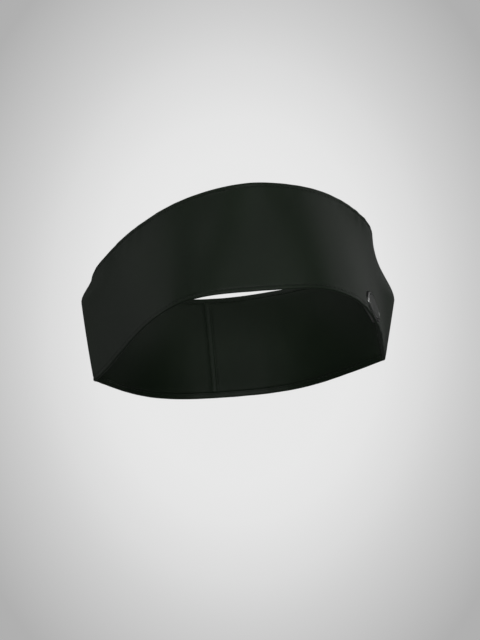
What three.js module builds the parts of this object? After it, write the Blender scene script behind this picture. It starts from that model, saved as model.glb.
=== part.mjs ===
// A wide sports headband, standing open as if worn: outer stretch cloth with turned hems over
// an absorbent core and a lining, a stitched seam at the back of the head and a small folded tab
// near the wearer's left temple.
// Millimetres, +Z up. The wearer faces -Y and the wearer's left is at +X.
import * as THREE from "three";
import { mergeVertices } from "three/addons/utils/BufferGeometryUtils.js";

// Overall shape
const bandWidth = 55;
const frontDepth = 120;
const rearDepth = 65;
const lowerHalfWidth = 76;
const upperHalfWidth = 74;
const earHalfWidth = 81.4;
const earHeight = 0.7 * bandWidth;
const earSpread = 0.26;
const frontRise = 7;
const rearRise = 2.2;
const restingZone = 0.34;
const cornerRounding = 0.13;
const outline = {
  front: { lowerRound: 3.7, upperRound: 1.9, lowerPinch: 2.1, upperPinch: 1 },
  rear: { lowerRound: 2.7, upperRound: 2, lowerPinch: 2.05, upperPinch: 1 },
};

// Layers of the wall, counted inwards from the outer face
const gap = 0.33;
const clothThickness = 0.8;
const coreThickness = 0.6;
const coreDepth = clothThickness + gap;
const liningDepth = coreDepth + coreThickness + gap;
const wallThickness = liningDepth + clothThickness;
const hemFold = 2.8;
const hemRound = 0.6;
const elasticWidth = 5;

// Stitching
const threadRadius = 0.22;
const hemStitchHeight = 2;
const seamStitchSpacing = 2.4;
const seamAngle = THREE.MathUtils.degToRad(185.4);
const tapeWidth = 3.6;
const tapeThickness = 0.4;
const tapeEndClearance = 2.8;

// Oval badge near the left temple: a rimmed front, its blank face and a backing inside the band
const badgeAngle = THREE.MathUtils.degToRad(55);
const badgeHeight = 7.1;
const badgeLength = 22.6;
const badgeBreadth = 14;
const badgeBase = 0.5;
const badgeRim = 1.3;
const badgeRimShare = 0.16;
const badgeFace = 0.4;
const badgeFaceMargin = 0.36;
const badgeSteps = 32;

const ringSteps = 72;
const earCrowding = 0.3;
const spinRadius = 100;

// Every layer bends at these same shares of the width, so the layers stay parallel.
const bendShares = [0, 0.2, 0.4, 0.56, 0.7, 0.77, 0.84, 0.92, 1];
const bendHeights = bendShares.map((share) => share * bandWidth);

// How far the side of the band stands out at one level of its height, at the ear.
function sideHalfWidth(level) {
  const earLevel = earHeight / bandWidth;
  if (level < earLevel) {
    const climb = Math.sin((Math.PI / 2) * (level / earLevel));
    return lowerHalfWidth + (earHalfWidth - lowerHalfWidth) * climb;
  }
  const fall = Math.cos((Math.PI / 2) * ((level - earLevel) / (1 - earLevel))) ** 2;
  return upperHalfWidth + (earHalfWidth - upperHalfWidth) * fall;
}

// The smooth surface at an angle from the forehead, a height above the lower edge
// and a depth inwards from the outer face.
function surfacePoint(angle, height, depth) {
  const level = height / bandWidth;
  const across = Math.sin(angle);
  const along = Math.cos(angle);
  const half = along > 0 ? outline.front : outline.rear;
  const reach = (along > 0 ? frontDepth : rearDepth) - depth;
  const round = THREE.MathUtils.lerp(half.lowerRound, half.upperRound, level);
  const pinch = THREE.MathUtils.lerp(half.lowerPinch, half.upperPinch, level);
  const fullness = (1 - Math.abs(across) ** round + 1e-12) / (along * along + 1e-12);
  const soften = (along * along + cornerRounding ** 2) / (1 + cornerRounding ** 2);
  const plain = THREE.MathUtils.lerp(lowerHalfWidth, upperHalfWidth, level);
  const fromEar = (Math.abs(angle) % Math.PI) - Math.PI / 2;
  const nearEar = Math.exp(-((fromEar / earSpread) ** 2));
  const halfWidth = plain + (sideHalfWidth(level) - plain) * nearEar - depth;
  const lift = THREE.MathUtils.smoothstep(Math.abs(along), restingZone, 1);
  return new THREE.Vector3(
    halfWidth * across,
    -reach * along * fullness ** (pinch / 2) * soften ** ((pinch - 1) / 2),
    height + lift * (along > 0 ? frontRise : rearRise),
  );
}

// The same surface, straight between one bend height and the next.
function bandPoint(angle, height, depth) {
  const above = bendHeights.findIndex((bend, i) => i > 0 && height <= bend);
  const upper = above > 0 ? above : bendHeights.length - 1;
  const [low, high] = [bendHeights[upper - 1], bendHeights[upper]];
  const start = surfacePoint(angle, low, depth);
  return start.lerp(surfacePoint(angle, high, depth), (height - low) / (high - low));
}

// Moves every vertex of a geometry onto the band and gives it fresh normals.
function placeOnBand(geometry, coordinates) {
  geometry.deleteAttribute("normal");
  geometry.deleteAttribute("uv");
  const merged = mergeVertices(geometry, 1e-4);
  const position = merged.getAttribute("position");
  const vertex = new THREE.Vector3();
  for (let i = 0; i < position.count; i++) {
    vertex.fromBufferAttribute(position, i);
    const { angle, height, depth } = coordinates(vertex);
    const placed = bandPoint(angle, height, depth);
    position.setXYZ(i, placed.x, placed.y, placed.z);
  }
  merged.computeVertexNormals();
  return merged;
}

// A closed cross-section as [depth, height] pairs, turned so that its faces point out.
function crossSection(pairs) {
  const points = pairs.map(([depth, height]) => new THREE.Vector2(spinRadius - depth, height));
  return THREE.ShapeUtils.area(points) > 0 ? points : points.reverse();
}

// A cross-section carried all the way round the band, in shorter steps near the ears.
function ring(pairs) {
  const points = crossSection(pairs);
  points.push(points[0].clone());
  return placeOnBand(new THREE.LatheGeometry(points, ringSteps), (p) => {
    const turn = Math.atan2(p.x, p.z);
    return {
      angle: turn + earCrowding * Math.sin(2 * turn),
      height: p.y,
      depth: spinRadius - Math.hypot(p.x, p.z),
    };
  });
}

// A cross-section carried from one angle to another.
function patch(pairs, start, end, steps) {
  const shape = new THREE.Shape(crossSection(pairs));
  const solid = new THREE.ExtrudeGeometry(shape, { depth: 1, steps, bevelEnabled: false });
  return placeOnBand(solid, (p) => ({
    angle: THREE.MathUtils.lerp(end, start, p.z),
    height: p.y,
    depth: spinRadius - p.x,
  }));
}

function threadSection(depth, height) {
  return [
    [depth - threadRadius, height],
    [depth, height - threadRadius],
    [depth + threadRadius, height],
    [depth, height + threadRadius],
  ];
}

// A straight run up one depth, with a point at each end and at each bend on the way.
function rise(depth, from, to) {
  const bends = bendHeights.filter((bend) => bend > from && bend < to);
  return [from, ...bends, to].map((height) => [depth, height]);
}

function stripSection(depth, thickness, from, to) {
  return [...rise(depth, from, to), ...rise(depth + thickness, from, to).reverse()];
}

// The outer cloth: one piece that turns in over both edges and ends inside as narrow hem leaves.
const cloth = clothThickness;
const shellSection = [
  ...rise(0, hemRound, bandWidth - hemRound),
  [hemRound, bandWidth],
  [wallThickness - hemRound, bandWidth],
  ...rise(wallThickness, bandWidth - hemFold, bandWidth - hemRound).reverse(),
  ...rise(liningDepth, bandWidth - hemFold, bandWidth - cloth),
  ...rise(cloth, cloth, bandWidth - cloth).reverse(),
  ...rise(liningDepth, cloth, hemFold),
  ...rise(wallThickness, hemRound, hemFold).reverse(),
  [wallThickness - hemRound, 0],
  [hemRound, 0],
];

const elasticStart = clothThickness + gap;
const elasticEnd = elasticStart + elasticWidth;
const coreEnd = elasticEnd + gap;
const liningEnd = hemFold + gap;
const outerStitchDepth = -gap - threadRadius;
const innerStitchDepth = wallThickness + gap + threadRadius;
const tapeDepth = wallThickness + gap;
const seamStitchDepth = tapeDepth + tapeThickness + gap + threadRadius;
const anglePerMillimetre = 1 / lowerHalfWidth;
const tapeHalfAngle = (tapeWidth / 2) * anglePerMillimetre;
const stitchOffset = (seamStitchSpacing / 2) * anglePerMillimetre;
const threadHalfAngle = threadRadius * anglePerMillimetre;

// Badge profiles as [share of the radius, distance from the cloth], from the centre and back to it.
const badgeReach = Math.hypot(
  lowerHalfWidth * Math.cos(badgeAngle),
  frontDepth * Math.sin(badgeAngle),
);
const badgeInside = 1 - badgeRimShare;
const badgeFaceEdge = badgeInside - badgeFaceMargin / (badgeBreadth / 2);
const innerRings = [0, 0.3, 0.6];
// The badge lies over the lower hem stitches, clear of them.
const badgeSeat = 2 * (gap + threadRadius);

function across(edge, out) {
  return [...innerRings, edge].map((share) => [share, out]);
}

const badgeProfile = [
  ...across(1, 0),
  [1, badgeRim],
  [badgeInside, badgeRim],
  ...across(badgeInside, badgeBase).reverse(),
];
const badgeFaceProfile = [
  ...across(badgeFaceEdge, badgeBase + gap),
  ...across(badgeFaceEdge, badgeBase + gap + badgeFace).reverse(),
];

// A turned disc, stretched to an oval and laid on the band's outer (way 1) or inner (way -1) face.
function badge(profile, depth, way) {
  const points = profile.map(([share, out]) => new THREE.Vector2(share, out));
  return placeOnBand(new THREE.LatheGeometry(points, badgeSteps), (p) => ({
    angle: badgeAngle + (p.x * badgeLength) / 2 / badgeReach,
    height: badgeHeight - (way * p.z * badgeBreadth) / 2,
    depth: depth - way * p.y,
  }));
}

const shellCloth = new THREE.MeshStandardMaterial({ color: 0x1c2420, roughness: 0.72, metalness: 0 });
const liningCloth = new THREE.MeshStandardMaterial({ color: 0x171d18, roughness: 0.8, metalness: 0 });
const towelling = new THREE.MeshStandardMaterial({ color: 0x1a1d1a, roughness: 0.95, metalness: 0 });
const elastic = new THREE.MeshStandardMaterial({ color: 0x151815, roughness: 0.85, metalness: 0 });
const thread = new THREE.MeshStandardMaterial({ color: 0x141a16, roughness: 0.6, metalness: 0 });
const darkMetal = new THREE.MeshStandardMaterial({ color: 0x4a4c4b, roughness: 0.3, metalness: 1 });
const satin = new THREE.MeshStandardMaterial({ color: 0x252d28, roughness: 0.5, metalness: 0 });

const band = new THREE.Group();
band.name = "headband";
band.position.y = (frontDepth - rearDepth) / 2;

function add(name, geometry, material) {
  const mesh = new THREE.Mesh(geometry, material);
  mesh.name = name;
  band.add(mesh);
}

add("outer_shell", ring(shellSection), shellCloth);
const liningTop = bandWidth - liningEnd;
add("lining", ring(stripSection(liningDepth, cloth, liningEnd, liningTop)), liningCloth);
const coreTop = bandWidth - coreEnd;
add("absorbent_core", ring(stripSection(coreDepth, coreThickness, coreEnd, coreTop)), towelling);

const elasticSection = (from) => stripSection(coreDepth, coreThickness, from, from + elasticWidth);
add("bottom_hem_elastic", ring(elasticSection(elasticStart)), elastic);
add("top_hem_elastic", ring(elasticSection(bandWidth - elasticEnd)), elastic);

for (const [edge, height] of [
  ["bottom", hemStitchHeight],
  ["top", bandWidth - hemStitchHeight],
]) {
  add(edge + "_stitch_outer", ring(threadSection(outerStitchDepth, height)), thread);
  add(edge + "_stitch_inner", ring(threadSection(innerStitchDepth, height)), thread);
}

const tapeTop = bandWidth - tapeEndClearance;
const tapeSection = stripSection(tapeDepth, tapeThickness, tapeEndClearance, tapeTop);
const tapeSpan = [seamAngle - tapeHalfAngle, seamAngle + tapeHalfAngle];
add("back_seam_tape", patch(tapeSection, ...tapeSpan, 2), shellCloth);

const seamThreadSection = stripSection(
  seamStitchDepth - threadRadius,
  threadRadius * 2,
  tapeEndClearance + 1,
  tapeTop - 1,
);
for (const [side, way] of [
  ["left", -1],
  ["right", 1],
]) {
  const middle = seamAngle + way * stitchOffset;
  const span = [middle - threadHalfAngle, middle + threadHalfAngle];
  add("back_seam_stitch_" + side, patch(seamThreadSection, ...span, 1), thread);
}

add("badge_front", badge(badgeProfile, -badgeSeat, 1), darkMetal);
add("badge_face", badge(badgeFaceProfile, -badgeSeat, 1), satin);
add("badge_back", badge(badgeProfile, wallThickness + badgeSeat, -1), darkMetal);

const root = new THREE.Group();
root.add(band);
export default root;
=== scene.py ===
"""A wide sports headband of double stretch cloth, standing open as worn."""

import math
from functools import lru_cache

import bmesh
import bpy
from mathutils import Matrix, Vector, noise


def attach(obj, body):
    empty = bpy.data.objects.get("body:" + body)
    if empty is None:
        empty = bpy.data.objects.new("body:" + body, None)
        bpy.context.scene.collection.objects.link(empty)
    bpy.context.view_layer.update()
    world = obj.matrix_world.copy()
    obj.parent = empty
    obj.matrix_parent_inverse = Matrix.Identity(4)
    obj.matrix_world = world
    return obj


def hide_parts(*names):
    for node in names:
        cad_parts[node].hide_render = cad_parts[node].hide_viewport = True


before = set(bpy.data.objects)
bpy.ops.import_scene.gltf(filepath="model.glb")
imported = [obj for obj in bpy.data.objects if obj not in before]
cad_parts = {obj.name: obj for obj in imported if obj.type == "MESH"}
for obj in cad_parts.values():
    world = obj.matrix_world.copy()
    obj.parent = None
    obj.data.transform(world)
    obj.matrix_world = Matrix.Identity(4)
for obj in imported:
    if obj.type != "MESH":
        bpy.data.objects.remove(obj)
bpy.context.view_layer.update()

MM = 0.001
TINY = 1e-12
WELD_DISTANCE = 0.00001

# Overall shape in millimetres, close to the part's
BAND_WIDTH = 55.4
FRONT_DEPTH = 120.0
REAR_DEPTH = 65.0
LOWER_HALF_WIDTH = 76.0
FRONT_RISE = 7.51
REAR_RISE = 2.95
RESTING_ZONE = 0.34
CORNER_ROUNDING = 0.13
FOREHEAD_ROUNDING = 0.2
SIDE_BLEND = 0.25
REAR_OUTLINE = {"round": (3.46, 1.81), "pinch": (2.9, 1.07)}
# Worn cloth sits a little differently on each side of the forehead
RIGHT_SIDE = {
    "round": (4.37, 1.37),
    "pinch": (2.7, 1.03),
    "top": 72.5,
    "ear": 78.6,
    "ear_level": 0.768,
    "spread": 0.232,
}
LEFT_SIDE = {
    "round": (3.9, 1.03),
    "pinch": (1.62, 0.585),
    "top": 72.5,
    "ear": 84.5,
    "ear_level": 0.565,
    "spread": 0.219,
}
MIDDLE_Y = (FRONT_DEPTH - REAR_DEPTH) / 2

# Wall layers, counted inwards from the outer face
GAP = 0.33
CLOTH = 0.8
CORE = 0.6
CORE_DEPTH = CLOTH + GAP
LINING_DEPTH = CORE_DEPTH + CORE + GAP
WALL = LINING_DEPTH + CLOTH
HEM_FOLD = 2.8
EDGE_RADIUS = 0.9
HEM_SQUEEZE = 0.45
HEM_SQUEEZE_WIDTH = 3.0

# Slow waves of the worn wall and finer ripples along its edges
DRAPE_DEPTH = 0.8
DRAPE_TURNS = 2.2
DRAPE_HEIGHT = 45
RIPPLE_DEPTH = 0.3
RIPPLE_FINENESS = 5.5
RIPPLE_REACH = 7

# Stitching
STITCH_PITCH = 2.8
STITCH_LENGTH = 2.3
THREAD_RADIUS = 0.2
STITCH_VALLEY = 0.5
HEM_STITCH_HEIGHT = 2.0
SEAM_ANGLE = math.radians(185.2)
SEAM_ROW_SPACING = 2.4
SEAM_PITCH = 2.3
TAPE_WIDTH = 3.6
TAPE_THICKNESS = 0.4
TAPE_BED = 0.4

# Oval badge near the left temple
BADGE_ANGLE = math.radians(55.0)
BADGE_HEIGHT = 7.1
BADGE_LENGTH = 22.6
BADGE_BREADTH = 14.0
BADGE_RIM = 1.1
BADGE_RIM_THICKENING = 1.3
BADGE_RIM_CREST = 0.75
BADGE_BASE = 0.55
BADGE_SUNK = 0.15


def mix(low, high, share):
    return low + (high - low) * share


def smooth_share(low, high, value):
    share = min(max((value - low) / (high - low), 0.0), 1.0)
    return share * share * (3 - 2 * share)


def bump(distance, width):
    """A soft bell of height 1 at distance 0."""
    return math.exp(-((distance / width) ** 2))


def side_half_width(level, ear_level, ear, top):
    """Half the band's width beside the ears, where the cloth bulges most."""
    if level < ear_level:
        return mix(LOWER_HALF_WIDTH, ear, level / ear_level)
    fall = math.cos(math.pi / 2 * (level - ear_level) / (1 - ear_level)) ** 2
    return mix(top, ear, fall)


def blended(key, leftness):
    right, left = RIGHT_SIDE[key], LEFT_SIDE[key]
    if isinstance(right, tuple):
        return [mix(a, b, leftness) for a, b in zip(right, left)]
    return mix(right, left, leftness)


def softened(across, power):
    """across to a power, from 0 to 1, with its tip at the middle rounded off."""
    tip = FOREHEAD_ROUNDING**power
    whole = (1 + FOREHEAD_ROUNDING**2) ** (power / 2)
    return ((across * across + FOREHEAD_ROUNDING**2) ** (power / 2) - tip) / (whole - tip)


def surface_point(angle, height, depth):
    """The band's outer face at an angle from the forehead, moved inwards by a depth."""
    level = min(max(height / BAND_WIDTH, 0.0), 1.0)
    across = math.sin(angle)
    along = math.cos(angle)
    leftness = 0.5 + 0.5 * math.tanh(across / SIDE_BLEND)
    reach = (FRONT_DEPTH if along > 0 else REAR_DEPTH) - depth
    if along > 0:
        roundness = mix(*blended("round", leftness), level)
        pinch = mix(*blended("pinch", leftness), level)
    else:
        roundness = mix(*REAR_OUTLINE["round"], level)
        pinch = mix(*REAR_OUTLINE["pinch"], level)
    fullness = (1 - softened(across, roundness) + TINY) / (along * along + TINY)
    soften = (along * along + CORNER_ROUNDING**2) / (1 + CORNER_ROUNDING**2)
    top, ear = blended("top", leftness), blended("ear", leftness)
    plain = mix(LOWER_HALF_WIDTH, top, level)
    from_ear = abs(math.remainder(angle, 2 * math.pi)) - math.pi / 2
    near_ear = bump(from_ear, blended("spread", leftness))
    bulging = side_half_width(level, blended("ear_level", leftness), ear, top)
    half_width = plain + (bulging - plain) * near_ear - depth
    rise = FRONT_RISE if along > 0 else REAR_RISE
    return Vector((
        half_width * across,
        -reach * along * fullness ** (pinch / 2) * soften ** ((pinch - 1) / 2) + MIDDLE_Y,
        height + rise * smooth_share(RESTING_ZONE, 1, abs(along)),
    ))


# Distance round the band, measured at mid height from the back seam
SAMPLES = 2880
ANGLES = [SEAM_ANGLE + 2 * math.pi * i / SAMPLES for i in range(SAMPLES + 1)]
DISTANCES = [0.0]
for start, end in zip(ANGLES, ANGLES[1:]):
    step = surface_point(end, BAND_WIDTH / 2, 0) - surface_point(start, BAND_WIDTH / 2, 0)
    DISTANCES.append(DISTANCES[-1] + step.length)
LENGTH = DISTANCES[-1]


def look_up(value, keys, results):
    low, high = 0, len(keys) - 1
    while high - low > 1:
        middle = (low + high) // 2
        if keys[middle] <= value:
            low = middle
        else:
            high = middle
    share = (value - keys[low]) / (keys[high] - keys[low])
    return mix(results[low], results[high], share)


@lru_cache(maxsize=None)
def angle_at(distance):
    return look_up(distance % LENGTH, DISTANCES, ANGLES)


def distance_at(angle):
    return look_up(SEAM_ANGLE + (angle - SEAM_ANGLE) % (2 * math.pi), ANGLES, DISTANCES)


def drape(distance, height):
    """Slow waves and edge ripples of the soft wall, in millimetres of depth."""
    turn = 2 * math.pi * distance / LENGTH
    place = Vector((
        math.cos(turn) * DRAPE_TURNS,
        math.sin(turn) * DRAPE_TURNS,
        height / DRAPE_HEIGHT,
    ))
    slow = noise.noise(place) * DRAPE_DEPTH
    edge = min(height, BAND_WIDTH - height)
    elsewhere = place * RIPPLE_FINENESS + Vector((3, 1, 7))
    ripple = noise.noise(elsewhere) * RIPPLE_DEPTH * bump(edge, RIPPLE_REACH)
    return slow + ripple


def squeezed(depth, height):
    """The sewn edges are pressed thinner than the rest of the wall."""
    pressing = HEM_SQUEEZE * bump(min(height, BAND_WIDTH - height), HEM_SQUEEZE_WIDTH)
    return depth - pressing * min(max(depth, 0), WALL)


def band_point(distance, height, depth):
    whole = squeezed(depth, height) + drape(distance, height)
    return surface_point(angle_at(distance), height, whole) * MM


def stitch_dip(distance, height, row_height, pitch, depth):
    """How far one row of stitches pulls the cloth in."""
    pull = 0.75 + 0.25 * math.cos(2 * math.pi * distance / pitch)
    return depth * pull * bump(height - row_height, STITCH_VALLEY)


def make_object(name, bm, material):
    for face in bm.faces:
        face.smooth = True
    mesh = bpy.data.meshes.new(name)
    bm.to_mesh(mesh)
    bm.free()
    mesh.materials.append(material)
    piece = bpy.data.objects.new(name, mesh)
    bpy.context.scene.collection.objects.link(piece)
    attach(piece, "root")
    return piece


def place_grid(bm, columns, rows, place, texture_place):
    """A grid whose corners run from 0 to 1 both ways, each vertex moved to place(across, up)."""
    bmesh.ops.create_grid(bm, x_segments=columns, y_segments=rows, size=0.5, calc_uvs=True)
    layer = bm.loops.layers.uv.verify()
    for face in bm.faces:
        for loop in face.loops:
            loop[layer].uv = texture_place(loop.vert.co.x + 0.5, loop.vert.co.y + 0.5)
    for vert in bm.verts:
        vert.co = place(vert.co.x + 0.5, vert.co.y + 0.5)


def cloth_ring(name, section, columns, relief, material):
    """A closed cross-section of (depth, height, side) points carried round the whole band."""
    rows = len(section)
    loop = section + [section[0]]
    lengths = [0.0]
    for a, b in zip(loop, loop[1:]):
        lengths.append(lengths[-1] + math.hypot(b[0] - a[0], b[1] - a[1]))

    def place(across, up):
        depth, height, side = loop[round(up * rows)]
        distance = across * LENGTH
        return band_point(distance, height, depth + side * relief(distance, height, side))

    def texture_place(across, up):
        return (across * LENGTH * MM, lengths[round(up * rows)] * MM)

    bm = bmesh.new()
    place_grid(bm, columns, rows, place, texture_place)
    bmesh.ops.remove_doubles(bm, verts=bm.verts, dist=WELD_DISTANCE)
    bmesh.ops.recalc_face_normals(bm, faces=bm.faces)
    return make_object(name, bm, material)


def evenly(start, end, count):
    return [mix(start, end, i / count) for i in range(count + 1)]


NODE_CHOICES = ("operation", "bands_direction", "wave_profile", "uv_map")


def node(tree, kind, **settings):
    """A shader node with its choices and its sockets set by name."""
    made = tree.nodes.new("ShaderNode" + kind)
    for key, value in settings.items():
        if key in NODE_CHOICES:
            setattr(made, key, value)
        else:
            made.inputs[key].default_value = value
    return made


def start_material(name):
    material = bpy.data.materials.new(name)
    material.use_nodes = True
    tree = material.node_tree
    return material, tree, tree.nodes["Principled BSDF"]


def scaled(tree, source, scale):
    mapping = tree.nodes.new("ShaderNodeMapping")
    mapping.inputs["Scale"].default_value = scale
    tree.links.new(source, mapping.inputs["Vector"])
    return mapping.outputs["Vector"]


def ramp(tree, source, *stops):
    made = tree.nodes.new("ShaderNodeValToRGB")
    while len(made.color_ramp.elements) < len(stops):
        made.color_ramp.elements.new(0.5)
    for element, (position, colour) in zip(made.color_ramp.elements, stops):
        element.position = position
        element.color = (*colour, 1)
    tree.links.new(source, made.inputs["Fac"])
    return made.outputs["Color"]


def knit_cloth(name, dark, light, roughness, sheen, knit_depth):
    """Fine stretch knit: upright wales crossed by courses, with slow dye variation; the weave also
    darkens the colour in the knit's grooves, a painted shade.
    """
    material, tree, shader = start_material(name)
    link = tree.links.new
    place = node(tree, "UVMap", uv_map="UVMap").outputs["UV"]
    spot = node(tree, "TexCoord").outputs["Object"]
    wales = node(tree, "TexWave", bands_direction="X", wave_profile="SIN", Scale=1.0)
    wales.inputs["Distortion"].default_value = 0.6
    wales.inputs["Detail Scale"].default_value = 0.6
    link(scaled(tree, place, (430, 430, 1)), wales.inputs["Vector"])
    courses = node(tree, "TexWave", bands_direction="Y", wave_profile="SIN", Scale=1.0)
    courses.inputs["Distortion"].default_value = 1.2
    courses.inputs["Detail Scale"].default_value = 0.8
    link(scaled(tree, place, (620, 620, 1)), courses.inputs["Vector"])
    knit_relief_and_groove_shade = node(tree, "Math", operation="MULTIPLY")
    link(wales.outputs["Fac"], knit_relief_and_groove_shade.inputs[0])
    link(courses.outputs["Fac"], knit_relief_and_groove_shade.inputs[1])
    dye = node(tree, "TexNoise", Scale=22, Detail=3, Roughness=0.5)
    link(spot, dye.inputs["Vector"])
    fuzz = node(tree, "TexNoise", Scale=2600, Detail=2, Roughness=0.7)
    link(spot, fuzz.inputs["Vector"])
    # Colour: the weave darkens the knit's grooves (painted shade), plus slow dye variation (the cloth's
    # own)
    tone = node(tree, "Math", operation="MULTIPLY_ADD")
    tone.inputs[1].default_value = 0.45
    link(knit_relief_and_groove_shade.outputs[0], tone.inputs[0])
    link(dye.outputs["Fac"], tone.inputs[2])
    link(ramp(tree, tone.outputs[0], (0.3, dark), (0.95, light)), shader.inputs["Base Color"])
    rough = node(tree, "MapRange")
    rough.inputs["To Min"].default_value = roughness - 0.07
    rough.inputs["To Max"].default_value = roughness + 0.07
    link(fuzz.outputs["Fac"], rough.inputs["Value"])
    link(rough.outputs["Result"], shader.inputs["Roughness"])
    fine = node(tree, "Bump", Strength=0.35, Distance=0.00012)
    link(fuzz.outputs["Fac"], fine.inputs["Height"])
    knit = node(tree, "Bump", Strength=knit_depth, Distance=0.00025)
    link(knit_relief_and_groove_shade.outputs[0], knit.inputs["Height"])
    link(fine.outputs["Normal"], knit.inputs["Normal"])
    link(knit.outputs["Normal"], shader.inputs["Normal"])
    shader.inputs["Sheen Weight"].default_value = sheen
    shader.inputs["Sheen Roughness"].default_value = 0.45
    shader.inputs["Sheen Tint"].default_value = (0.75, 0.82, 0.76, 1)
    shader.inputs["Specular IOR Level"].default_value = 0.22
    return material


def twisted_thread(name, dark, light):
    material, tree, shader = start_material(name)
    link = tree.links.new
    spot = node(tree, "TexCoord").outputs["Object"]
    twist = node(tree, "TexWave", bands_direction="DIAGONAL", wave_profile="SIN", Scale=1.0)
    twist.inputs["Distortion"].default_value = 1.5
    link(scaled(tree, spot, (900, 900, 900)), twist.inputs["Vector"])
    link(ramp(tree, twist.outputs["Fac"], (0.2, dark), (0.9, light)), shader.inputs["Base Color"])
    relief = node(tree, "Bump", Strength=0.5, Distance=0.0001)
    link(twist.outputs["Fac"], relief.inputs["Height"])
    link(relief.outputs["Normal"], shader.inputs["Normal"])
    shader.inputs["Roughness"].default_value = 0.5
    shader.inputs["Sheen Weight"].default_value = 0.05
    shader.inputs["Specular IOR Level"].default_value = 0.25
    return material


def smooth_finish(name, dark, light, roughness, grain, depth):
    material, tree, shader = start_material(name)
    link = tree.links.new
    spot = node(tree, "TexCoord").outputs["Object"]
    speckle = node(tree, "TexNoise", Scale=grain, Detail=4, Roughness=0.6)
    link(spot, speckle.inputs["Vector"])
    cloud = node(tree, "TexNoise", Scale=90, Detail=2, Roughness=0.5)
    link(spot, cloud.inputs["Vector"])
    link(ramp(tree, cloud.outputs["Fac"], (0.3, dark), (0.7, light)), shader.inputs["Base Color"])
    rough = node(tree, "MapRange")
    rough.inputs["To Min"].default_value = roughness - 0.08
    rough.inputs["To Max"].default_value = roughness + 0.08
    link(cloud.outputs["Fac"], rough.inputs["Value"])
    link(rough.outputs["Result"], shader.inputs["Roughness"])
    relief = node(tree, "Bump", Strength=0.25, Distance=depth)
    link(speckle.outputs["Fac"], relief.inputs["Height"])
    link(relief.outputs["Normal"], shader.inputs["Normal"])
    return material


def woven_elastic(name, dark, light):
    material, tree, shader = start_material(name)
    link = tree.links.new
    spot = node(tree, "TexCoord").outputs["Object"]
    ribs = node(tree, "TexWave", bands_direction="Z", wave_profile="SIN", Scale=1.0)
    link(scaled(tree, spot, (260, 260, 260)), ribs.inputs["Vector"])
    link(ramp(tree, ribs.outputs["Fac"], (0.1, dark), (0.9, light)), shader.inputs["Base Color"])
    relief = node(tree, "Bump", Strength=0.5, Distance=0.0002)
    link(ribs.outputs["Fac"], relief.inputs["Height"])
    link(relief.outputs["Normal"], shader.inputs["Normal"])
    shader.inputs["Roughness"].default_value = 0.75
    return material


outer_knit = knit_cloth(
    "outer_knit",
    dark=(0.003, 0.0082, 0.0028),
    light=(0.0075, 0.0152, 0.0066),
    roughness=0.58,
    sheen=0.03,
    knit_depth=0.5,
)
core_towelling = knit_cloth(
    "core_towelling",
    dark=(0.008, 0.01, 0.008),
    light=(0.02, 0.022, 0.02),
    roughness=0.9,
    sheen=0.4,
    knit_depth=1.0,
)
lining_knit = knit_cloth(
    "lining_knit",
    dark=(0.003, 0.008, 0.0028),
    light=(0.0075, 0.0145, 0.0064),
    roughness=0.66,
    sheen=0.03,
    knit_depth=0.4,
)
# Thread darker than the cloth: partly its own colour, partly painted shade standing for the dark stitch
# grooves
thread = twisted_thread("sewing_thread", (0.0012, 0.0022, 0.0012), (0.004, 0.006, 0.0038))
gunmetal = smooth_finish(
    "badge_gunmetal",
    dark=(0.16, 0.163, 0.16),
    light=(0.26, 0.264, 0.26),
    roughness=0.3,
    grain=1400,
    depth=0.00002,
)
gunmetal.node_tree.nodes["Principled BSDF"].inputs["Metallic"].default_value = 1
badge_satin = smooth_finish(
    "badge_face_satin",
    dark=(0.004, 0.008, 0.0038),
    light=(0.0075, 0.0125, 0.007),
    roughness=0.55,
    grain=2500,
    depth=0.00003,
)
hem_elastic = woven_elastic("hem_elastic", (0.004, 0.005, 0.004), (0.02, 0.022, 0.02))

# The outer cloth, one piece that turns in over both edges
HEM_CORE = 1.1
LEAF_CORNER = 0.25
STITCH_PULL = 0.26
SEAM_GROOVE_DEPTH = 0.5
SEAM_GROOVE_WIDTH = 0.7
SEAM_SWELL_DEPTH = 0.15
SEAM_SWELL_OFFSET = 2.2
COLUMNS = 4 * round(LENGTH / STITCH_PITCH)
PITCH = LENGTH / (COLUMNS / 4)


def edge_turn(middle_height, way):
    """The rounded fold over one edge, from the outer face to the inner face."""
    turn = []
    for quarter, centre in ((0, EDGE_RADIUS), (1, WALL - EDGE_RADIUS)):
        for i in range(4):
            swing = math.pi / 2 * (quarter + i / 3)
            turn.append((
                centre - EDGE_RADIUS * math.cos(swing),
                middle_height + way * EDGE_RADIUS * math.sin(swing),
                0,
            ))
    return turn


near_edge = [1.5, 1.75, 2.0, 2.25, 2.5, 2.9, 3.4, 4.2, 5.4]
from_top = [BAND_WIDTH - h for h in reversed(near_edge)]
outer_heights = near_edge + evenly(7, BAND_WIDTH - 7, 24) + from_top
leaf_heights = near_edge[:5]
shell_section = [(0, height, 1) for height in outer_heights]
shell_section += edge_turn(BAND_WIDTH - EDGE_RADIUS, 1)
shell_section += [(WALL, BAND_WIDTH - height, -1) for height in leaf_heights]
shell_section += [
    (WALL - LEAF_CORNER, BAND_WIDTH - HEM_FOLD, 0),
    (LINING_DEPTH + LEAF_CORNER, BAND_WIDTH - HEM_FOLD, 0),
    (LINING_DEPTH, BAND_WIDTH - HEM_FOLD + LEAF_CORNER, 0),
    (LINING_DEPTH, BAND_WIDTH - HEM_CORE, 0),
    (CLOTH, BAND_WIDTH - HEM_CORE, 0),
]
shell_section += [(CLOTH, height, 0) for height in evenly(BAND_WIDTH - 5, 5, 14)]
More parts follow.
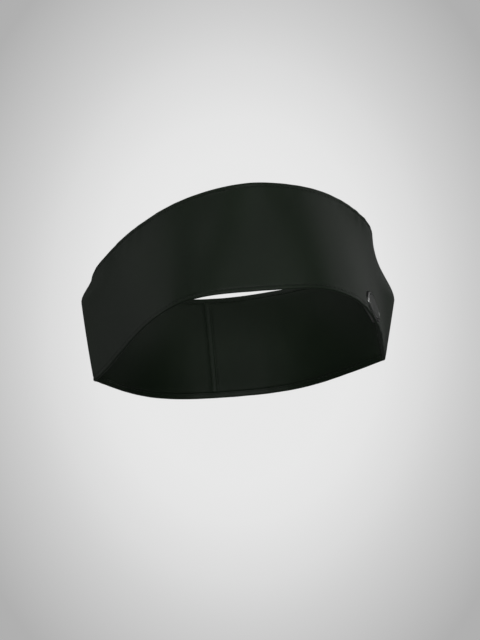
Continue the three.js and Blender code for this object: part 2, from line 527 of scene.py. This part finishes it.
shell_section += [
    (CLOTH, HEM_CORE, 0),
    (LINING_DEPTH, HEM_CORE, 0),
    (LINING_DEPTH, HEM_FOLD - LEAF_CORNER, 0),
    (LINING_DEPTH + LEAF_CORNER, HEM_FOLD, 0),
    (WALL - LEAF_CORNER, HEM_FOLD, 0),
]
shell_section += [(WALL, height, -1) for height in reversed(leaf_heights)]
shell_section += reversed(edge_turn(EDGE_RADIUS, -1))


def shell_relief(distance, height, side):
    dip = 0.0
    for row in (HEM_STITCH_HEIGHT, BAND_WIDTH - HEM_STITCH_HEIGHT):
        dip += stitch_dip(distance, height, row, PITCH, STITCH_PULL)
    if side > 0:
        from_seam = min(distance, LENGTH - distance)
        groove = SEAM_GROOVE_DEPTH * bump(from_seam, SEAM_GROOVE_WIDTH)
        dip += groove - SEAM_SWELL_DEPTH * bump(from_seam - SEAM_SWELL_OFFSET, 1.0)
    return dip


outer_cloth = cloth_ring(
    "outer_cloth", shell_section, COLUMNS, shell_relief, outer_knit
)
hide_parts("outer_shell")

# The lining, turned under where it meets the hem leaves
LINING_TURN = 0.3
WRINKLE_DEPTH = 0.22
lining_low = HEM_FOLD + 0.12
lining_high = BAND_WIDTH - lining_low
lining_start = lining_low + LINING_TURN
lining_end = lining_high - LINING_TURN
lining_section = [(LINING_DEPTH, height, 0) for height in evenly(lining_start, lining_end, 8)]
lining_section += [
    (LINING_DEPTH + LINING_TURN, lining_high, 0),
    (WALL - LINING_TURN, lining_high, 0),
]
inner_levels = [lining_start] + evenly(lining_low + 1.2, lining_high - 1.2, 34) + [lining_end]
lining_section += [(WALL, height, -1) for height in reversed(inner_levels)]
lining_section += [
    (WALL - LINING_TURN, lining_low, 0),
    (LINING_DEPTH + LINING_TURN, lining_low, 0),
]


def lining_relief(distance, height, side):
    from_seam = min(distance, LENGTH - distance)
    calm = smooth_share(HEM_FOLD, HEM_FOLD + 9, min(height, BAND_WIDTH - height))
    wrinkle = noise.noise(Vector((distance / 9, height / 30, 5))) * WRINKLE_DEPTH * calm
    bed = TAPE_BED * (1 - smooth_share(TAPE_WIDTH / 2, TAPE_WIDTH / 2 + 0.6, from_seam))
    return wrinkle * (1 - bump(from_seam, 5)) + bed


lining = cloth_ring("inner_lining", lining_section, 540, lining_relief, lining_knit)
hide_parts("lining")

# The towelling core between the two elastics
CORE_MARGIN = 6.6
core_levels = evenly(CORE_MARGIN, BAND_WIDTH - CORE_MARGIN, 8)
core_section = [(CORE_DEPTH, height, 0) for height in core_levels]
core_section += [(CORE_DEPTH + CORE, height, 0) for height in reversed(core_levels)]
core = cloth_ring("towel_core", core_section, 180, lambda *place: 0, core_towelling)
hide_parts("absorbent_core")

# Flat elastic inside each hem
ELASTIC_START = CLOTH + GAP
ELASTIC_WIDTH = 5.0
for edge, start in (("bottom", ELASTIC_START), ("top", BAND_WIDTH - ELASTIC_START - ELASTIC_WIDTH)):
    heights = evenly(start, start + ELASTIC_WIDTH, 4)
    section = [(CORE_DEPTH, height, 0) for height in heights]
    section += [(CORE_DEPTH + CORE, height, 0) for height in reversed(heights)]
    elastic = cloth_ring(edge + "_elastic", section, 180, lambda *place: 0, hem_elastic)
    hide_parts(edge + "_hem_elastic")


def stitch(bm, place, length, radius, lift):
    """One stitch: a slim bead whose ends dive into the cloth. place(along, up, out) puts it."""
    made = bmesh.ops.create_uvsphere(bm, u_segments=8, v_segments=6, radius=1)
    for vert in made["verts"]:
        along, up, out = vert.co.z, vert.co.y, vert.co.x
        fullness = 1 - 0.25 * along * along
        arch = lift * (1 - along * along)
        vert.co = place(along * length / 2, up * radius * fullness, out * radius * fullness + arch)


def hem_row(name, height, depth, side, cad_node):
    bm = bmesh.new()
    count = COLUMNS // 4
    for i in range(count):
        middle = (i + 0.5) * PITCH
        slant = 0.12 * math.sin(i * 2.4)

        def place(along, up, out):
            return band_point(middle + along, height + up + slant * along, depth - side * out)

        stitch(bm, place, STITCH_LENGTH, THREAD_RADIUS, 0.04)
    row = make_object(name, bm, thread)
    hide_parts(cad_node)


top_row = BAND_WIDTH - HEM_STITCH_HEIGHT
hem_row("bottom_row_outer", HEM_STITCH_HEIGHT, 0.2, 1, "bottom_stitch_outer")
hem_row("bottom_row_inner", HEM_STITCH_HEIGHT, WALL - 0.2, -1, "bottom_stitch_inner")
hem_row("top_row_outer", top_row, 0.2, 1, "top_stitch_outer")
hem_row("top_row_inner", top_row, WALL - 0.2, -1, "top_stitch_inner")

# The narrow tape over the back join
TAPE_LOW = 2.9
TAPE_HIGH = BAND_WIDTH - TAPE_LOW
TAPE_STITCH_PULL = 0.3
TAPE_TEXTURE_LENGTH = 0.048
TAPE_BASE = WALL - TAPE_BED + 0.04


def tape_place(across, up):
    sideways = mix(-TAPE_WIDTH / 2, TAPE_WIDTH / 2, across)
    height = mix(TAPE_LOW, TAPE_HIGH, up)
    dip = 0.0
    for row in (-SEAM_ROW_SPACING / 2, SEAM_ROW_SPACING / 2):
        dip += stitch_dip(height, sideways, row, SEAM_PITCH, TAPE_STITCH_PULL)
    crown = TAPE_THICKNESS - dip
    return band_point(sideways % LENGTH, height, TAPE_BASE + crown)


bm = bmesh.new()
place_grid(
    bm,
    28,
    110,
    tape_place,
    lambda across, up: (across * TAPE_WIDTH * MM, up * TAPE_TEXTURE_LENGTH),
)
tape = make_object("seam_tape", bm, outer_knit)
thicken = tape.modifiers.new("thickness", "SOLIDIFY")
thicken.thickness = TAPE_THICKNESS * MM
thicken.offset = -1
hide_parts("back_seam_tape")


def seam_row(name, sideways, cad_node):
    bm = bmesh.new()
    count = round((TAPE_HIGH - TAPE_LOW - 1.5) / SEAM_PITCH)
    for i in range(count):
        middle = TAPE_LOW + 0.75 + (i + 0.5) * SEAM_PITCH

        def place(along, up, out):
            height = middle + along
            surface = TAPE_BASE + TAPE_THICKNESS - 0.3
            return band_point((sideways + up) % LENGTH, height, surface + out)

        stitch(bm, place, SEAM_PITCH * 0.84, THREAD_RADIUS, 0.04)
    row = make_object(name, bm, thread)
    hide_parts(cad_node)


seam_row("seam_row_left", -SEAM_ROW_SPACING / 2, "back_seam_stitch_left")
seam_row("seam_row_right", SEAM_ROW_SPACING / 2, "back_seam_stitch_right")

# The badge: two rimmed ovals that grip the wall between them, and a blank satin face
BADGE_DISTANCE = distance_at(BADGE_ANGLE)


def badge_rim_width(turn):
    """The rim is widest at the upper end nearest the forehead."""
    from_tip = math.remainder(turn - math.radians(155), 2 * math.pi)
    return BADGE_RIM + BADGE_RIM_THICKENING * bump(from_tip, 0.6)


def oval_point(turn, inset, share):
    """A place on the badge as (along the band, up): inset from the edge, then drawn to the middle."""
    half_length, half_breadth = BADGE_LENGTH / 2, BADGE_BREADTH / 2
    aside, up = half_breadth * math.cos(turn), half_length * math.sin(turn)
    run = math.hypot(aside, up)
    return (
        (half_length * math.cos(turn) - inset * aside / run) * share,
        (half_breadth * math.sin(turn) - inset * up / run) * share,
    )


def badge_piece(name, profile, columns, base_depth, way, material):
    """A profile of (rim share, extra inset, share, out) carried round the oval."""

    def place(across, up):
        turn = 2 * math.pi * across
        rim_share, extra, share, out = profile[round(up * (len(profile) - 1))]
        along, rise = oval_point(turn, rim_share * badge_rim_width(turn) + extra, share)
        height = BADGE_HEIGHT + rise
        return band_point(BADGE_DISTANCE + along, height, base_depth - way * out)

    bm = bmesh.new()
    scale = BADGE_LENGTH * MM
    place_grid(bm, columns, len(profile) - 1, place, lambda across, up: (across * scale, up * scale))
    bmesh.ops.remove_doubles(bm, verts=bm.verts, dist=WELD_DISTANCE / 2)
    bmesh.ops.recalc_face_normals(bm, faces=bm.faces)
    return make_object(name, bm, material)


RIM_STEPS = 10
INNER_RINGS = (0, 0.25, 0.5, 0.75)
rim_profile = [(1, 0, share, -BADGE_SUNK) for share in INNER_RINGS]
rim_profile += [(1, 0, 1, -BADGE_SUNK), (0.5, 0, 1, -BADGE_SUNK)]
for i in range(RIM_STEPS + 1):
    swing = math.pi * i / RIM_STEPS
    floor = mix(-BADGE_SUNK, BADGE_BASE, i / RIM_STEPS)
    rim_profile.append((0.5 - 0.5 * math.cos(swing), 0, 1, floor + BADGE_RIM_CREST * math.sin(swing)))
rim_profile += [(1, 0, share, BADGE_BASE) for share in reversed(INNER_RINGS)]

face_profile = [(1, 0.12, share, BADGE_BASE + 0.03) for share in INNER_RINGS]
face_profile += [
    (1, 0.12, 1, BADGE_BASE + 0.03),
    (1, 0.08, 1, BADGE_BASE + 0.12),
    (1, 0.12, 1, BADGE_BASE + 0.24),
    (1, 0.3, 1, BADGE_BASE + 0.3),
]
face_profile += [(1, 0.3, share, BADGE_BASE + 0.38 - 0.08 * share**2) for share in reversed(INNER_RINGS)]

badge_front = badge_piece("badge_rim_front", rim_profile, 96, 0, 1, gunmetal)
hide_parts("badge_front")
badge_blank = badge_piece("badge_blank_face", face_profile, 96, 0, 1, badge_satin)
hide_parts("badge_face")
badge_back = badge_piece("badge_rim_back", rim_profile, 96, WALL, -1, gunmetal)
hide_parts("badge_back")


# Studio
def paper(name, tones, squash):
    """Plain paper that glows though it is no lamp, evenly or darkening away from its middle as the tones
    give; an uneven glow is a painted pool of light.
    """
    material, tree, shader = start_material(name)
    tree.nodes.remove(shader)
    place = node(tree, "TexCoord").outputs["Object"]
    away = node(tree, "VectorMath", operation="LENGTH")
    tree.links.new(scaled(tree, place, squash), away.inputs[0])
    glow = node(tree, "Emission")
    tones = [(position, (tone, tone, tone)) for position, tone in tones]
    tree.links.new(ramp(tree, away.outputs["Value"], *tones), glow.inputs["Color"])
    tree.links.new(glow.outputs["Emission"], tree.nodes["Material Output"].inputs["Surface"])
    return material


def painted(name, tone):
    material, tree, shader = start_material(name)
    grain = node(tree, "TexNoise", Scale=3, Detail=1, Roughness=0.4)
    tree.links.new(node(tree, "TexCoord").outputs["Object"], grain.inputs["Vector"])
    light, dark = (tone, tone, tone), (tone * 0.98, tone * 0.98, tone * 0.98)
    shade = ramp(tree, grain.outputs["Fac"], (0.3, dark), (0.7, light))
    tree.links.new(shade, shader.inputs["Base Color"])
    shader.inputs["Roughness"].default_value = 0.9
    return material


def stage_piece(name, bm, material, only_seen):
    mesh = bpy.data.meshes.new(name)
    bm.to_mesh(mesh)
    bm.free()
    mesh.materials.append(material)
    piece = bpy.data.objects.new(name, mesh)
    bpy.context.scene.collection.objects.link(piece)
    if only_seen:
        piece.visible_diffuse = False
        piece.visible_glossy = False
        piece.visible_shadow = False
    return piece


FLOOR_HEIGHT = -0.8
FLOOR_TONE = 0.42
SURROUND_TONE = 0.6
bm = bmesh.new()
bmesh.ops.create_grid(bm, x_segments=1, y_segments=1, size=6)
bmesh.ops.translate(bm, verts=bm.verts, vec=(0, 0, FLOOR_HEIGHT))
stage_piece("floor", bm, painted("pale_floor", FLOOR_TONE), False)
bm = bmesh.new()
bmesh.ops.create_uvsphere(bm, u_segments=32, v_segments=16, radius=9)
even_glow = [(0, SURROUND_TONE), (1, SURROUND_TONE)]
stage_piece("surround", bm, paper("surround_paper", even_glow, (0.1, 0.1, 0.1)), True)


LIGHT_DISTANCE = 2.2
LIGHT_SIZE = 0.7
LIGHT_AIM = Vector((0, 0.03, 0.03))


def softbox(name, turn, climb, power):
    """A square lamp round the band: turn in degrees from the forehead towards the left ear."""
    light = bpy.data.lights.new(name, "AREA")
    light.shape = "SQUARE"
    light.size = LIGHT_SIZE
    light.energy = power
    lamp = bpy.data.objects.new(name, light)
    across = math.cos(math.radians(climb)) * math.sin(math.radians(turn))
    ahead = -math.cos(math.radians(climb)) * math.cos(math.radians(turn))
    direction = Vector((across, ahead, math.sin(math.radians(climb))))
    lamp.location = LIGHT_AIM + direction * LIGHT_DISTANCE
    lamp.rotation_euler = (-direction).to_track_quat("-Z", "Y").to_euler()
    bpy.context.scene.collection.objects.link(lamp)


softbox("low_front", -5, -15, 19.5)
softbox("front_left_ear", 20, 18, 7.6)
softbox("side_left_ear", 90, 18, 8.2)
softbox("behind_left_ear", 130, 18, 1.6)
softbox("high_right_ear", -55, 50, 9.5)
softbox("behind_right_ear", -115, 18, 3.6)
softbox("high_back", 180, 55, 3)

world = bpy.data.worlds.new("studio_air")
world.use_nodes = True
world.node_tree.nodes["Background"].inputs["Color"].default_value = (1, 1, 1, 1)
world.node_tree.nodes["Background"].inputs["Strength"].default_value = 0.02
bpy.context.scene.world = world
bpy.context.scene.view_settings.view_transform = "Standard"

# Camera: low in front, looking up, rolled a little
CAMERA_DISTANCE = 1.8
CAMERA_YAW = math.radians(6.78)
CAMERA_CLIMB = math.radians(14.85)
CAMERA_ROLL = math.radians(5.89)
LENS = 195.4
SENSOR_WIDTH = 36
ORIGIN = Vector((0, MIDDLE_Y * MM, 0))
AIM_RIGHT = 0.0002
AIM_UP = 0.0263
forward = Vector((
    math.cos(CAMERA_CLIMB) * math.sin(CAMERA_YAW),
    math.cos(CAMERA_CLIMB) * math.cos(CAMERA_YAW),
    math.sin(CAMERA_CLIMB),
))
level_right = Vector((math.cos(CAMERA_YAW), -math.sin(CAMERA_YAW), 0))
level_up = level_right.cross(forward)
image_right = level_right * math.cos(CAMERA_ROLL) - level_up * math.sin(CAMERA_ROLL)
image_up = level_right * math.sin(CAMERA_ROLL) + level_up * math.cos(CAMERA_ROLL)
eye = ORIGIN - forward * CAMERA_DISTANCE
target = ORIGIN + image_right * AIM_RIGHT + image_up * AIM_UP
view = (target - eye).normalized()
right = view.cross(image_up).normalized()
up = right.cross(view)
camera_data = bpy.data.cameras.new("camera")
camera_data.lens = LENS
camera_data.sensor_width = SENSOR_WIDTH
camera_data.clip_end = 50
camera = bpy.data.objects.new("camera", camera_data)
turn = Matrix((right, up, -view)).transposed().to_4x4()
camera.matrix_world = Matrix.Translation(eye) @ turn
bpy.context.scene.collection.objects.link(camera)
bpy.context.scene.camera = camera

# Backdrop paper square to the camera, glowing brightest behind the band: a painted pool of light
BACKDROP_DISTANCE = 4.8
BACKDROP_HALF_SIZE = 0.75
GLOW_SQUASH = (2.315, 1.697, 1)
bm = bmesh.new()
bmesh.ops.create_grid(bm, x_segments=1, y_segments=1, size=BACKDROP_HALF_SIZE)
tones = [(0, 0.81), (0.38, 0.803), (0.475, 0.78), (0.61, 0.707), (0.71, 0.63), (1, 0.434)]
backdrop = stage_piece("backdrop", bm, paper("backdrop_painted_glow", tones, GLOW_SQUASH), True)
backdrop.matrix_world = Matrix.Translation(eye + view * BACKDROP_DISTANCE) @ turn
